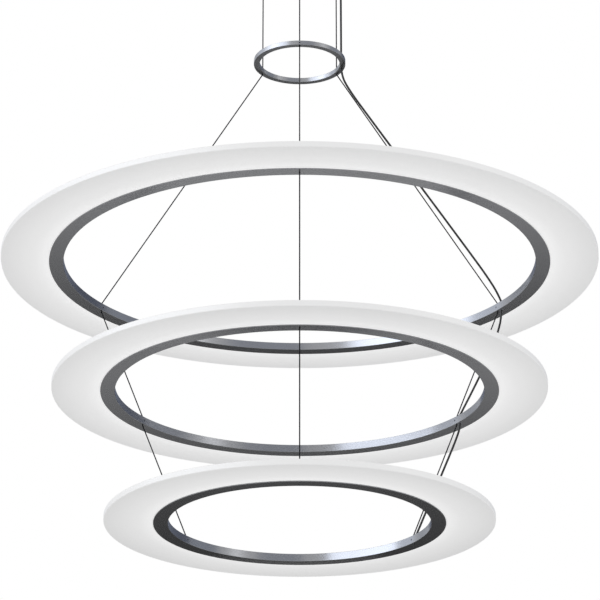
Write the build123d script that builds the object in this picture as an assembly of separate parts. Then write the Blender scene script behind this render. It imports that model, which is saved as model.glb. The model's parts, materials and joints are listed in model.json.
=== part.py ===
from build123d import *
import os
from math import atan, cos, degrees, pi, radians, sin, tan

# LED ring chandelier: three lit rings, one below the other, on three steel ropes.
#
# A spun ceiling canopy holds three cable grippers. The ropes run straight down to a small
# spreader ring, out to the large ring, and in again to the medium and the small ring. One
# power cord runs beside the right-hand rope and feeds every ring. Each ring is an aluminium
# hoop, a channel that is open outwards, with the inner edge of a hollow opal diffuser seated
# in it. Behind the LED tape the hoop has a closed chamber, where a block and a grub screw
# clamp each rope.
#
# Frame: millimetres, +Z up, origin at the centre of the ceiling face. The front rope hangs
# on -Y. At a ring, "s" is the distance outwards from the hoop's inner face.

os.makedirs("parts", exist_ok=True)

# ---------------------------------------------------------------- driving dimensions
# rings
large_outer_radius = 550.0
medium_outer_radius = 450.0
small_outer_radius = 350.0
diffuser_reach = 88.3  # width of opal diffuser that shows outside the hoop
hoop_width = 26.4
hoop_height = 14.2
flange_thickness = 1.5
inner_wall = 1.5
chamber_width = 6.0
partition_thickness = 1.5
edge_chamfer = 0.4  # on the outer edges of the hoops and the spreader
diffuser_wall = 2.5
diffuser_outer_wall = 3.0
diffuser_edge_chamfer = 1.0
diffuser_play = 0.3  # slot height less diffuser height
led_gap = 4.0  # from the partition to the diffuser's open edge

# LED tape
tape_width = 8.0
tape_thickness = 0.3
led_length = 5.0
led_width = 3.5
led_height = 0.8
led_pitch = 50.0

# heights
canopy_height = 45.0
canopy_to_spreader = 200.0  # canopy underside to spreader underside
spreader_to_large = 417.5  # underside to underside, as are the ring pitches
large_to_medium = 246.2
medium_to_small = 246.2

# ropes and cord
rope_diameter = 2.4
rope_angles = {"front": -90.0, "right": 30.0, "left": 150.0}
rope_circle_radius = 81.5  # at the canopy and the spreader
rope_hole_clearance = 0.3  # on the radius
rope_bend_radius = 6.0
rope_tail = 24.0  # above the canopy floor
cord_diameter = 4.0
cord_clearance = 0.2  # on the radius
cord_angle_spreader = 13.5
cord_arc_offset = 12.0  # along the hoop from the right-hand rope to the cord
joint_gap = 0.3  # between the end of one stretch and the next ring
cord_arc_share = 0.45  # share of the shorter run that a bend's tangent takes

# The cord's route between two rings: distance along the plan, and drop below the upper
# ring's underside. Each route ends in the next ring's bush.
cord_to_large = [(0, 14), (20, 42), (58, 81), (306, 331), (338, 366), (354, 387)]
cord_to_medium = [(0, 14), (8, 44), (22, 80), (55, 150)]
cord_to_small = [(0, 8), (9, 32), (24, 66)]

# spreader ring
spreader_width = 11.0
spreader_height = 8.5

# clamps
clamp_length = 14.0
clamp_play = 0.2
grub_radius = 1.5
grub_clearance = 0.1
grub_recess = 0.3
grub_rope_gap = 0.05
grub_socket_radius = 0.8
grub_socket_depth = 1.4
bush_wall = 0.7
bush_head_overhang = 1.0
bush_head_height = 0.8
stop_head_radius = 2.2
stop_head_height = 0.8

# canopy
canopy_radius = 110.0
canopy_wall = 1.2
canopy_bevel = 6.0
bracket_width = 36.0
bracket_thickness = 2.0
ear_width = 24.0
ear_shoulder = 9.0  # from the wide bar's end to the ear
ear_drop = 22.0
ear_gap = 0.2
ceiling_slot_spacing = 100.0
ceiling_slot_length = 25.0
ceiling_slot_width = 5.5
mains_hole_radius = 7.0
mains_hole_offset = 22.0
side_screw_radius = 1.95
screw_clearance = 0.1
side_screw_angles = (0, 180)
side_screw_drop = 15.0
side_screw_length = 9.0
side_screw_head_radius = 3.75
side_screw_head_height = 2.4
earth_screw_offset = -78.0
earth_screw_radius = 1.95
earth_screw_head_radius = 3.8
earth_screw_head_height = 2.2

# cable gripper
gripper_radius = 5.0
gripper_length = 22.0
nipple_radius = 4.0
nipple_rise = 11.0
nipple_clearance = 0.1
nut_clearance = 0.05
nut_across_flats = 12.0
nut_height = 3.5
cone_top_drop = 9.5
cone_half_angle = 8.0
ball_radius = 0.95
ball_drop = 13.0
ball_play = 0.03
barrel_inner_radius = 1.4
barrel_outer_radius = 2.5
barrel_flange_radius = 3.0
barrel_flange_height = 1.0
nose_clearance = 0.1
nose_reach = 5.0
spring_wire = 0.5
spring_radius = 2.6
spring_turns = 5
spring_chamber_radius = 3.8
spring_seat_drop = 2.0
spring_play = 0.1
nose_chamfer = 1.0

# cord gland
gland_thread_radius = 5.0
gland_thread_rise = 8.0
gland_flats = 13.0
gland_hex_height = 4.0
gland_dome_radius = 5.6
gland_dome_tip_radius = 3.6
gland_dome_height = 9.0
gland_nut_flats = 15.0
gland_nut_height = 3.0

# driver and terminals
driver_length = 116.0
driver_width = 42.0
driver_height = 26.0
driver_corner_radius = 3.0
driver_pad_length = 24.0
driver_pad_thickness = 1.5
terminal_length = 30.0
terminal_width = 17.0
terminal_height = 14.0
terminal_centre_y = 50.0
terminal_ways = 3
terminal_hole_radius = 1.9
terminal_wire_level = 4.7
terminal_well_depth = 3.5
lead_start = 3.0  # above the gland's thread
lead_rise = 12.0
lead_run_in = 8.0
lead_entry_y = 9.0

# ---------------------------------------------------------------- levels and radii
overcut = 1.0  # how far a cutting tool runs past the face it opens
canopy_floor = -canopy_height
canopy_inside = canopy_floor + canopy_wall
spreader_bottom = canopy_floor - canopy_to_spreader
spreader_top = spreader_bottom + spreader_height
spreader_middle = spreader_bottom + spreader_height / 2
large_bottom = spreader_bottom - spreader_to_large
medium_bottom = large_bottom - large_to_medium
small_bottom = medium_bottom - medium_to_small
ring_bottoms = {"large": large_bottom, "medium": medium_bottom, "small": small_bottom}
ring_outer_radii = {
    "large": large_outer_radius,
    "medium": medium_outer_radius,
    "small": small_outer_radius,
}

slot_height = hoop_height - 2 * flange_thickness
rope_s = inner_wall + chamber_width / 2
partition_s = inner_wall + chamber_width + partition_thickness
diffuser_s = partition_s + led_gap
rope_hole_radius = rope_diameter / 2 + rope_hole_clearance
cord_bore_radius = cord_diameter / 2 + cord_clearance
bush_radius = cord_bore_radius + bush_wall
side_screw_bore = side_screw_radius + screw_clearance


def hoop_inner_radius(ring):
    return ring_outer_radii[ring] - diffuser_reach - hoop_width


def rope_radius(ring):
    """Distance of the ropes' holes from the axis at one ring."""
    return hoop_inner_radius(ring) + rope_s


def cord_angle(ring):
    """Direction of the cord's hole: a fixed distance along the hoop from the right-hand rope."""
    return rope_angles["right"] - degrees(cord_arc_offset / rope_radius(ring))


def at(radius, angle, z):
    """A point given by its distance from the axis, its direction and its height."""
    return Vector(radius * cos(radians(angle)), radius * sin(radians(angle)), z)


def band(r_low, r_high, z_low, z_high):
    """A rectangle in the XZ plane, between two radii and two heights."""
    place = Pos((r_low + r_high) / 2, (z_low + z_high) / 2)
    return Plane.XZ * place * Rectangle(r_high - r_low, z_high - z_low)


def upright(radius, z_low, z_high, centre):
    """A vertical cylinder between two heights, over a point."""
    return Pos(centre.X, centre.Y, (z_low + z_high) / 2) * Cylinder(radius, z_high - z_low)


def radial(radius, r_low, r_high, angle, z):
    """A cylinder that points away from the axis, between two distances from it."""
    middle = at((r_low + r_high) / 2, angle, z)
    return Pos(*middle) * Rot(0, 0, angle) * Rot(0, 90, 0) * Cylinder(radius, r_high - r_low)


gland_centre = at(rope_circle_radius, cord_angle_spreader, 0)


def save(node, *solids):
    """Write one sub-part. Identical pieces share one file as separate solids."""
    shape = solids[0] if len(solids) == 1 else Compound(children=list(solids))
    export_step(shape, f"parts/{node}.step")


def single(shape):
    """The one solid of a boolean result."""
    return shape.solids()[0]


# ---------------------------------------------------------------- rings
def make_hoop(ring):
    """Aluminium channel, open outwards, with a closed rope chamber along its inner wall."""
    base = ring_bottoms[ring]
    top = base + hoop_height
    r = hoop_inner_radius(ring)
    outline = band(r, r + hoop_width, base, top)
    outline = chamfer(outline.vertices(), edge_chamfer)
    floor = base + flange_thickness
    ceiling = top - flange_thickness
    slot = band(r + partition_s, r + hoop_width + overcut, floor, ceiling)
    chamber = band(r + inner_wall, r + inner_wall + chamber_width, floor, ceiling)
    hoop = revolve(outline - slot - chamber, Axis.Z)
    middle = base + hoop_height / 2
    for angle in rope_angles.values():
        hole = at(rope_radius(ring), angle, middle)
        hoop -= upright(rope_hole_radius, base - overcut, top + overcut, hole)
        hoop -= radial(grub_radius + grub_clearance, r - overcut, r + rope_s, angle, middle)
    cord_hole = at(rope_radius(ring), cord_angle(ring), middle)
    cord_low = middle if ring == "small" else base - overcut
    hoop -= upright(bush_radius, cord_low, top + overcut, cord_hole)
    return single(hoop)


def make_diffuser(ring):
    """Hollow opal acrylic ring, open inwards, whose two lips rest in the hoop's channel."""
    low = ring_bottoms[ring] + flange_thickness
    high = low + slot_height - diffuser_play
    r_low = hoop_inner_radius(ring) + diffuser_s
    r_high = ring_outer_radii[ring]
    outline = band(r_low, r_high, low, high)
    outer_corners = outline.vertices().group_by(Axis.X)[-1]
    outline = chamfer(outer_corners, diffuser_edge_chamfer)
    web = r_high - diffuser_outer_wall
    hollow = band(r_low - overcut, web, low + diffuser_wall, high - diffuser_wall)
    return single(revolve(outline - hollow, Axis.Z))


def make_led_tape(ring):
    """Flexible board on the partition, with its light packages facing outwards."""
    r = hoop_inner_radius(ring) + partition_s
    middle = ring_bottoms[ring] + hoop_height / 2
    tape = revolve(
        band(r, r + tape_thickness, middle - tape_width / 2, middle + tape_width / 2), Axis.Z
    )
    face = r + tape_thickness
    count = int(2 * pi * face / led_pitch)
    leds = [
        Pos(*at(face + led_height / 2, i * 360 / count, middle))
        * Rot(0, 0, i * 360 / count)
        * Box(led_height, led_length, led_width)
        for i in range(count)
    ]
    return [single(tape)] + leds


def make_clamp_block(ring, angle):
    """Block in the rope chamber: the rope runs down through it and a grub screw presses it."""
    base = ring_bottoms[ring]
    height = slot_height - clamp_play
    middle = base + hoop_height / 2
    r = rope_radius(ring)
    low = base + flange_thickness
    block = Pos(*at(r, angle, low + height / 2)) * Rot(0, 0, angle)
    block = block * Box(chamber_width - 2 * clamp_play, clamp_length, height)
    block -= upright(rope_hole_radius, base, base + hoop_height, at(r, angle, 0))
    block -= radial(grub_radius + grub_clearance, r - chamber_width, r, angle, middle)
    return single(block)


def make_grub_screw(r_outside, r_rope, angle, z):
    """Socket-headless screw from a ring's face to the rope. Either end may be the outer one."""
    inward = 1 if r_rope > r_outside else -1
    start = r_outside + inward * grub_recess
    end = r_rope - inward * (rope_diameter / 2 + grub_rope_gap)
    screw = radial(grub_radius, min(start, end), max(start, end), angle, z)
    socket_end = start + inward * grub_socket_depth
    outside = start - inward
    socket = radial(grub_socket_radius, min(outside, socket_end), max(outside, socket_end), angle, z)
    return single(screw - socket)


def make_bush(ring, side):
    """Flanged bush that guards the cord where it goes through a flange of the hoop."""
    base = ring_bottoms[ring]
    centre = at(rope_radius(ring), cord_angle(ring), 0)
    head_radius = bush_radius + bush_head_overhang
    if side == "top":
        face = base + hoop_height
        bush = upright(bush_radius, face - flange_thickness, face, centre)
        bush += upright(head_radius, face, face + bush_head_height, centre)
    else:
        face = base
        bush = upright(bush_radius, face, face + flange_thickness, centre)
        bush += upright(head_radius, face - bush_head_height, face, centre)
    whole_height = flange_thickness + bush_head_height
    bush -= upright(cord_bore_radius, face - whole_height, face + whole_height, centre)
    return single(bush)


def make_end_stop(angle):
    """A rope's last piece, down through the small ring, with the stop crimped on its end."""
    low = ring_bottoms["small"]
    centre = at(rope_radius("small"), angle, 0)
    stop = upright(rope_diameter / 2, low, low + hoop_height, centre)
    stop += upright(stop_head_radius, low - stop_head_height, low, centre)
    return single(stop)


for ring in ring_outer_radii:
    middle = ring_bottoms[ring] + hoop_height / 2
    save(f"{ring}_hoop", make_hoop(ring))
    save(f"{ring}_diffuser", make_diffuser(ring))
    save(f"{ring}_led_tape", *make_led_tape(ring))
    save(f"{ring}_clamp_blocks", *[make_clamp_block(ring, a) for a in rope_angles.values()])
    save(
        f"{ring}_grub_screws",
        *[
            make_grub_screw(hoop_inner_radius(ring), rope_radius(ring), a, middle)
            for a in rope_angles.values()
        ],
    )
    sides = ["top"] if ring == "small" else ["top", "bottom"]
    save(f"{ring}_cord_bushes", *[make_bush(ring, side) for side in sides])
save("rope_end_stops", *[make_end_stop(a) for a in rope_angles.values()])


# ---------------------------------------------------------------- spreader
def make_spreader():
    """Plain ring of rectangular section with a hole for each rope and one for the cord."""
    r_low = rope_circle_radius - spreader_width / 2
    r_high = rope_circle_radius + spreader_width / 2
    outline = band(r_low, r_high, spreader_bottom, spreader_top)
    ring = revolve(chamfer(outline.vertices(), edge_chamfer), Axis.Z)
    low = spreader_bottom - overcut
    high = spreader_top + overcut
    grub_bore = grub_radius + grub_clearance
    for angle in rope_angles.values():
        ring -= upright(rope_hole_radius, low, high, at(rope_circle_radius, angle, 0))
        ring -= radial(grub_bore, rope_circle_radius, r_high + overcut, angle, spreader_middle)
    ring -= upright(cord_bore_radius, low, high, at(rope_circle_radius, cord_angle_spreader, 0))
    return single(ring)


save("spreader_ring", make_spreader())
save(
    "spreader_grub_screws",
    *[
        make_grub_screw(
            rope_circle_radius + spreader_width / 2,
            rope_circle_radius,
            angle,
            spreader_middle,
        )
        for angle in rope_angles.values()
    ],
)


# ---------------------------------------------------------------- canopy
def lower_corner(profile):
    """The outermost of a profile's lowest corners."""
    return profile.vertices().group_by(Axis.Z)[0].sort_by(Axis.X)[-1]


def make_canopy():
    """Spun steel cup, open at the ceiling, with a bevelled lower corner of even thickness."""
    outer = band(0, canopy_radius, canopy_floor, 0)
    outer = chamfer(lower_corner(outer), canopy_bevel)
    inner = band(0, canopy_radius - canopy_wall, canopy_inside, overcut)
    inner = chamfer(lower_corner(inner), canopy_bevel - canopy_wall * (2 - 2**0.5))
    cup = revolve(outer - inner, Axis.Z)
    low = canopy_floor - overcut
    high = canopy_inside + overcut
    for angle in rope_angles.values():
        cup -= upright(nipple_radius + nipple_clearance, low, high, at(rope_circle_radius, angle, 0))
    cup -= upright(gland_thread_radius + nipple_clearance, low, high, gland_centre)
    for angle in side_screw_angles:
        reach = canopy_wall + overcut
        cup -= radial(
            side_screw_bore, canopy_radius - reach, canopy_radius + reach, angle, -side_screw_drop
        )
    return single(cup)


ear_outside = canopy_radius - canopy_wall - ear_gap
# the ear is flat and the cup is round, so the ear's corners set how far out it can stand
ear_outside = (ear_outside**2 - (ear_width / 2) ** 2) ** 0.5


def make_bracket():
    """Flat bar with two ceiling slots and an ear turned down at each end."""
    under = -bracket_thickness
    bar = Box(2 * ear_outside - 2 * ear_shoulder, bracket_width, bracket_thickness)
    tongue = Box(2 * ear_outside, ear_width, bracket_thickness)
    bracket = Pos(0, 0, under / 2) * (bar + tongue)
    for side in (-1, 1):
        ear = Box(bracket_thickness, ear_width, ear_drop)
        bracket += Pos(side * (ear_outside - bracket_thickness / 2), 0, -ear_drop / 2) * ear
        slot = SlotOverall(ceiling_slot_length, ceiling_slot_width)
        slot = Pos(side * ceiling_slot_spacing / 2, 0, under - overcut) * slot
        bracket -= extrude(slot, bracket_thickness + 2 * overcut)
    for angle in side_screw_angles:
        inside = ear_outside - bracket_thickness - overcut
        bracket -= radial(side_screw_bore, inside, ear_outside + overcut, angle, -side_screw_drop)
    earth = Vector(earth_screw_offset, 0, 0)
    bracket -= upright(earth_screw_radius + screw_clearance, under - overcut, overcut, earth)
    mains = Vector(mains_hole_offset, 0, 0)
    bracket -= upright(mains_hole_radius, under - overcut, overcut, mains)
    return single(bracket)


def make_side_screw(angle):
    """Thumb screw through the cup's wall into the bracket's ear."""
    head = radial(
        side_screw_head_radius,
        canopy_radius,
        canopy_radius + side_screw_head_height,
        angle,
        -side_screw_drop,
    )
    shank = radial(
        side_screw_radius, canopy_radius - side_screw_length, canopy_radius, angle, -side_screw_drop
    )
    return single(head + shank)


def make_earth_screw():
    """Pan-head screw for the protective conductor, in the bracket."""
    centre = Vector(earth_screw_offset, 0, 0)
    under = -bracket_thickness
    screw = upright(earth_screw_radius, under, 0, centre)
    screw += upright(earth_screw_head_radius, under - earth_screw_head_height, under, centre)
    return single(screw)


save("canopy_cover", make_canopy())
save("ceiling_bracket", make_bracket())
save("canopy_side_screws", *[make_side_screw(angle) for angle in side_screw_angles])
save("earth_screw", make_earth_screw())


# ---------------------------------------------------------------- driver and terminals
pad_top = canopy_inside + driver_pad_thickness
driver_pads = [
    Pos(side * (driver_length - driver_pad_length) / 2, 0, (canopy_inside + pad_top) / 2)
    * Box(driver_pad_length, driver_width - 2 * driver_corner_radius, driver_pad_thickness)
    for side in (-1, 1)
]
driver = Pos(0, 0, pad_top + driver_height / 2) * Box(driver_length, driver_width, driver_height)
driver = fillet(driver.edges().filter_by(Axis.Z), driver_corner_radius)
driver = single(driver)

terminal = Pos(0, terminal_centre_y, canopy_inside + terminal_height / 2)
terminal = terminal * Box(terminal_length, terminal_width, terminal_height)
way_pitch = terminal_length / terminal_ways
for way in range(terminal_ways):
    x = (way - (terminal_ways - 1) / 2) * way_pitch
    wire = Pos(x, terminal_centre_y, canopy_inside + terminal_wire_level)
    terminal -= wire * Rot(90, 0, 0) * Cylinder(terminal_hole_radius, terminal_width + overcut)
    screw_well = Pos(x, terminal_centre_y, canopy_inside + terminal_height)
    terminal -= screw_well * Cylinder(terminal_hole_radius, 2 * terminal_well_depth)

save("driver_pads", *driver_pads)
save("led_driver", driver)
save("terminal_block", single(terminal))


# ---------------------------------------------------------------- cable grippers
def cone_radius(drop):
    """Radius of the gripper's clamping cone, which narrows downwards."""
    ball_edge = rope_diameter / 2 + 2 * ball_radius + 2 * ball_play
    return ball_edge + (ball_drop - drop) * tan(radians(cone_half_angle))


def cone_drop(radius):
    """How far below the canopy's underside the cone has a radius."""
    return ball_drop + (cone_radius(ball_drop) - radius) / tan(radians(cone_half_angle))


def make_gripper_body(centre):
    """Turned housing: threaded nipple, spring chamber, clamping cone and nose bore."""
    bore = barrel_inner_radius
    nose_bore = barrel_outer_radius + nose_clearance
    with BuildSketch(Plane.XZ) as section:
        with BuildLine():
            Polyline(
                (bore, nipple_rise),
                (nipple_radius, nipple_rise),
                (nipple_radius, 0),
                (gripper_radius, 0),
                (gripper_radius, nose_chamfer - gripper_length),
                (gripper_radius - nose_chamfer, -gripper_length),
                (nose_bore, -gripper_length),
                (nose_bore, -cone_drop(nose_bore)),
                (cone_radius(cone_top_drop), -cone_top_drop),
                (spring_chamber_radius, -cone_top_drop),
                (spring_chamber_radius, -spring_seat_drop),
                (bore, -spring_seat_drop),
                close=True,
            )
        make_face()
    body = revolve(section.sketch, Axis.Z)
    return Pos(centre.X, centre.Y, canopy_floor) * single(body)


def hex_nut(flats, height, bore):
    """Hexagon nut standing on z = 0."""
    nut = extrude(RegularPolygon(flats / 2, 6, major_radius=False), height)
    return single(nut - Cylinder(bore, 4 * height))


def make_plunger(centre):
    """Bored barrel with a spring seat, three ball pockets and the nose that is pushed."""
    top = canopy_floor - cone_top_drop
    bottom = canopy_floor - gripper_length - nose_reach
    barrel = upright(barrel_outer_radius, bottom, top, centre)
    barrel += upright(barrel_flange_radius, top - barrel_flange_height, top, centre)
    barrel -= upright(barrel_inner_radius, bottom - overcut, top + overcut, centre)
    ball_level = canopy_floor - ball_drop
    for i in range(3):
        pocket = Rot(0, 0, 120 * i) * Pos(barrel_outer_radius / 2, 0, 0) * Rot(0, 90, 0)
        pocket = pocket * Cylinder(ball_radius + ball_play, barrel_outer_radius + overcut)
        barrel -= Pos(centre.X, centre.Y, ball_level) * pocket
    return single(barrel)


def make_balls(centre):
    """Three steel balls between the rope and the cone."""
    reach = rope_diameter / 2 + ball_radius + ball_play
    place = Pos(centre.X, centre.Y, canopy_floor - ball_drop)
    return [place * Rot(0, 0, 120 * i) * Pos(reach, 0, 0) * Sphere(ball_radius) for i in range(3)]


def make_spring(centre):
    """Light coil spring of square wire that keeps the barrel pressed down into the cone."""
    top = canopy_floor - spring_seat_drop - spring_wire / 2
    bottom = canopy_floor - cone_top_drop + spring_wire / 2
    height = top - bottom - spring_play
    path = Helix(pitch=height / spring_turns, height=height, radius=spring_radius)
    wire = Plane(origin=path @ 0, x_dir=(1, 0, 0), z_dir=path % 0)
    wire = wire * Rectangle(spring_wire, spring_wire)
    spring = single(sweep(wire, path=path, is_frenet=True))
    return Pos(centre.X, centre.Y, bottom + spring_play / 2) * spring


gripper_bodies = []
gripper_nuts = []
for name, angle in rope_angles.items():
    centre = at(rope_circle_radius, angle, 0)
    gripper_bodies.append(make_gripper_body(centre))
    nut = hex_nut(nut_across_flats, nut_height, nipple_radius + nut_clearance)
    gripper_nuts.append(Pos(centre.X, centre.Y, canopy_inside) * nut)
    save(f"gripper_plunger_{name}", make_plunger(centre))
    save(f"gripper_balls_{name}", *make_balls(centre))
    save(f"gripper_spring_{name}", make_spring(centre))
save("gripper_bodies", *gripper_bodies)
save("gripper_nuts", *gripper_nuts)


# ---------------------------------------------------------------- cord gland
def make_gland(centre):
    """Cord grip: thread through the canopy, hexagon below it and a domed cap."""
    gland = extrude(RegularPolygon(gland_flats / 2, 6, major_radius=False), -gland_hex_height)
    gland += Pos(0, 0, gland_thread_rise / 2) * Cylinder(gland_thread_radius, gland_thread_rise)
    dome = Cone(gland_dome_tip_radius, gland_dome_radius, gland_dome_height)
    gland += Pos(0, 0, -gland_hex_height - gland_dome_height / 2) * dome
    reach = gland_thread_rise + gland_hex_height + gland_dome_height
    gland -= Cylinder(cord_bore_radius, 2 * reach)
    return Pos(centre.X, centre.Y, canopy_floor) * single(gland)


save("cord_gland", make_gland(gland_centre))
gland_nut = hex_nut(gland_nut_flats, gland_nut_height, gland_thread_radius + nut_clearance)
save("gland_nut", Pos(gland_centre.X, gland_centre.Y, canopy_inside) * gland_nut)


# ---------------------------------------------------------------- ropes and cord
def tube(path, diameter):
    """Round tube along a path of straight runs and arcs."""
    profile = Plane(origin=path @ 0, z_dir=path % 0) * Circle(diameter / 2)
    return single(sweep(profile, path=path))


def stretch(points, diameter, radii, stop):
    """A tube through points, run a little past the last one and cut flat at a height."""
    overrun = 3 * diameter
    last = points[-1] - points[-2]
    end = points[-1] + last.normalized() * overrun
    path = FilletPolyline(*points[:-1], end, radius=radii)
    whole = tube(path, diameter)
    waste = Pos(end.X, end.Y, stop - 2 * overrun) * Box(8 * overrun, 8 * overrun, 4 * overrun)
    return single(whole - waste)


def bend_radii(points):
    """As large an arc at each corner as its two runs allow."""
    radii = []
    for before, corner, after in zip(points, points[1:], points[2:]):
        turn = radians((corner - before).get_angle(after - corner))
        run = min((corner - before).length, (after - corner).length)
        radii.append(cord_arc_share * run / tan(turn / 2))
    return radii


def rope_stretch(r_top, r_next, angle, top, bottom, next_top):
    """Down through a ring, round the edge of its hole, and straight to the next ring's hole."""
    turn = atan(abs(r_next - r_top) / (bottom - next_top))
    corner = bottom - rope_bend_radius * tan(turn / 2)
    points = [at(r_top, angle, top), at(r_top, angle, corner), at(r_next, angle, next_top)]
    return stretch(points, rope_diameter, [rope_bend_radius], next_top + joint_gap)


def cord_stretch(name, start, end, top, bottom, route):
    """Down through a ring and along a hand-chosen route to the next ring's bush."""
    plan = Vector(end.X - start.X, end.Y - start.Y, 0).normalized()
    points = [Vector(start.X, start.Y, top)]
    points += [
        Vector(start.X + way * plan.X, start.Y + way * plan.Y, bottom - drop) for way, drop in route
    ]
    points.append(end)
    radii = bend_radii(points)
    print(name, "arc radii", [round(r) for r in radii])
    return stretch(points, cord_diameter, radii, end.Z + joint_gap)


# each stretch starts at the top of one ring and ends just above the next one
spans = [
    ("spreader", "large", cord_to_large),
    ("large", "medium", cord_to_medium),
    ("medium", "small", cord_to_small),
]
tops = {"spreader": spreader_top}
bottoms = {"spreader": spreader_bottom}
rope_radii = {"spreader": rope_circle_radius}
cord_angles = {"spreader": cord_angle_spreader}
for ring in ring_outer_radii:
    tops[ring] = ring_bottoms[ring] + hoop_height
    bottoms[ring] = ring_bottoms[ring]
    rope_radii[ring] = rope_radius(ring)
    cord_angles[ring] = cord_angle(ring)

rope_top = canopy_floor + rope_tail
for name, angle in rope_angles.items():
    centre = at(rope_circle_radius, angle, 0)
    upper = upright(rope_diameter / 2, spreader_top + joint_gap, rope_top, centre)
    save(f"rope_{name}_canopy_to_spreader", upper)
    for above, below, _ in spans:
        solid = rope_stretch(
            rope_radii[above], rope_radii[below], angle, tops[above], bottoms[above], tops[below]
        )
        save(f"rope_{name}_{above}_to_{below}", solid)

cord_top = canopy_floor + gland_thread_rise + lead_start
upper = upright(cord_diameter / 2, spreader_top + joint_gap, cord_top, gland_centre)
save("cord_canopy_to_spreader", upper)
for above, below, route in spans:
    start = at(rope_radii[above], cord_angles[above], 0)
    end = at(rope_radii[below], cord_angles[below], tops[below] + bush_head_height)
    solid = cord_stretch(f"cord {above} to {below}", start, end, tops[above], bottoms[above], route)
    save(f"cord_{above}_to_{below}", solid)


def make_output_lead():
    """The cord's own end inside the canopy: up from the gland and over to the driver."""
    high = cord_top + lead_rise
    driver_end = driver_length / 2
    points = [
        Vector(gland_centre.X, gland_centre.Y, cord_top),
        Vector(gland_centre.X, gland_centre.Y, high),
        Vector(driver_end + lead_run_in, lead_entry_y, high),
        Vector(driver_end, lead_entry_y, high),
    ]
    return tube(FilletPolyline(*points, radius=bend_radii(points)), cord_diameter)


save("driver_output_lead", make_output_lead())
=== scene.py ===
# %% [markdown]
# LED ring chandelier
#
# Three lit rings hang one below the other on three steel ropes. This lesson dresses the exact
# CAD model of that light: it lays the ropes and the power cord, turns the smooth metal and
# acrylic rings, gives every piece the surface of its real material, and lights the whole as
# a product photograph is lit. Every number is in metres, in the frame of the CAD model: +Z is
# up, and the origin is the centre of the ceiling face.

# %% Load the CAD model
import json
from math import cos, degrees, pi, radians, sin, tan
import bmesh
import bpy
from mathutils import Matrix, Vector
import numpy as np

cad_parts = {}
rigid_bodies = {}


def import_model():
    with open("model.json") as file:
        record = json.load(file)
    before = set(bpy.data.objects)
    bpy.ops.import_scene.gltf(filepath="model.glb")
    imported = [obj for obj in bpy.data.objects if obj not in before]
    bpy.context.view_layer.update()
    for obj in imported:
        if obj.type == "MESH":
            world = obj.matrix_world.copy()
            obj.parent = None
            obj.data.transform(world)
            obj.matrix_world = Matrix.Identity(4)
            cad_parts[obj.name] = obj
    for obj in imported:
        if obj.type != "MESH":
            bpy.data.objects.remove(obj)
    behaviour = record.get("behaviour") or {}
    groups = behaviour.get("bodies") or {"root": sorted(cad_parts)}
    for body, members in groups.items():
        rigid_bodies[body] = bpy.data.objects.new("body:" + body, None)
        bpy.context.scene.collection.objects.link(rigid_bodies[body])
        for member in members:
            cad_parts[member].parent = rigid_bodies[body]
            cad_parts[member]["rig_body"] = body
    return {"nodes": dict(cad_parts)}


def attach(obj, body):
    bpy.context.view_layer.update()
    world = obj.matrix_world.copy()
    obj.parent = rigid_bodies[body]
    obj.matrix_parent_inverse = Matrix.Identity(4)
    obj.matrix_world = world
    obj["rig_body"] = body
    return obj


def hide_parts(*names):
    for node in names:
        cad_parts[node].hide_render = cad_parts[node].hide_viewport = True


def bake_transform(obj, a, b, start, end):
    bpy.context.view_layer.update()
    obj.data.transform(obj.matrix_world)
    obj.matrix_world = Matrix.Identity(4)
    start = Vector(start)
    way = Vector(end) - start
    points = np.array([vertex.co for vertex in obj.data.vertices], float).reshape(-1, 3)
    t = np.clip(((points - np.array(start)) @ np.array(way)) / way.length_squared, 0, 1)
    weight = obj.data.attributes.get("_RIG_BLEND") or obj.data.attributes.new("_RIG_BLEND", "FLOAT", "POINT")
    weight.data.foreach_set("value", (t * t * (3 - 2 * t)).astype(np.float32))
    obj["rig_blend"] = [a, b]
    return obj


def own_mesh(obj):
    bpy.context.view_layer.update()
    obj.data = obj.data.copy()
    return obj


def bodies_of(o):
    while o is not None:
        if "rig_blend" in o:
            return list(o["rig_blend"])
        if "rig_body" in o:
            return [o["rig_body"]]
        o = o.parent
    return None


for leftover in list(bpy.data.objects):
    bpy.data.objects.remove(leftover)
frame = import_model()
bpy.context.view_layer.update()

# %% [markdown]
# Camera
#
# The photograph was taken from below with a long lens. Its rings appear as ellipses, and one
# pinhole camera fits all of them: 4.9 m in front of the light, lower than the lowest ring, and
# tilted up by 21 degrees. The lower a ring hangs, the less steeply it is seen, and the flatter is
# its ellipse. The light hangs a third of a pixel off the middle of the picture, so the lens is
# shifted by that much.

# %% Place the camera
CAMERA_DISTANCE, CAMERA_LEVEL, CAMERA_TILT = 4.9192, -2.6134, 21.012
scene = bpy.context.scene


def placed(name, data):
    """A new object in the scene, at the origin."""
    obj = bpy.data.objects.new(name, data)
    scene.collection.objects.link(obj)
    return obj


camera = placed("camera", bpy.data.cameras.new("camera"))
camera.location = (0, -CAMERA_DISTANCE, CAMERA_LEVEL)
camera.rotation_euler = (radians(90 + CAMERA_TILT), 0, 0)
camera.data.lens = 171.8
camera.data.sensor_width = 36
camera.data.shift_x = 0.0006
scene.camera = camera
scene.view_settings.view_transform = "Standard"
print("camera tilt", CAMERA_TILT, "lens", camera.data.lens)

# %% [markdown]
# Colours and nodes
#
# Colours are written as the hex code that a screen shows. Shaders count in linear light, so one
# function converts them. A second small function adds any node. It takes the node's type, a
# table of inputs, and settings. An input is a constant, another node's output, or another node,
# which then stands for its first output.

# %% Two helpers for every material


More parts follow.
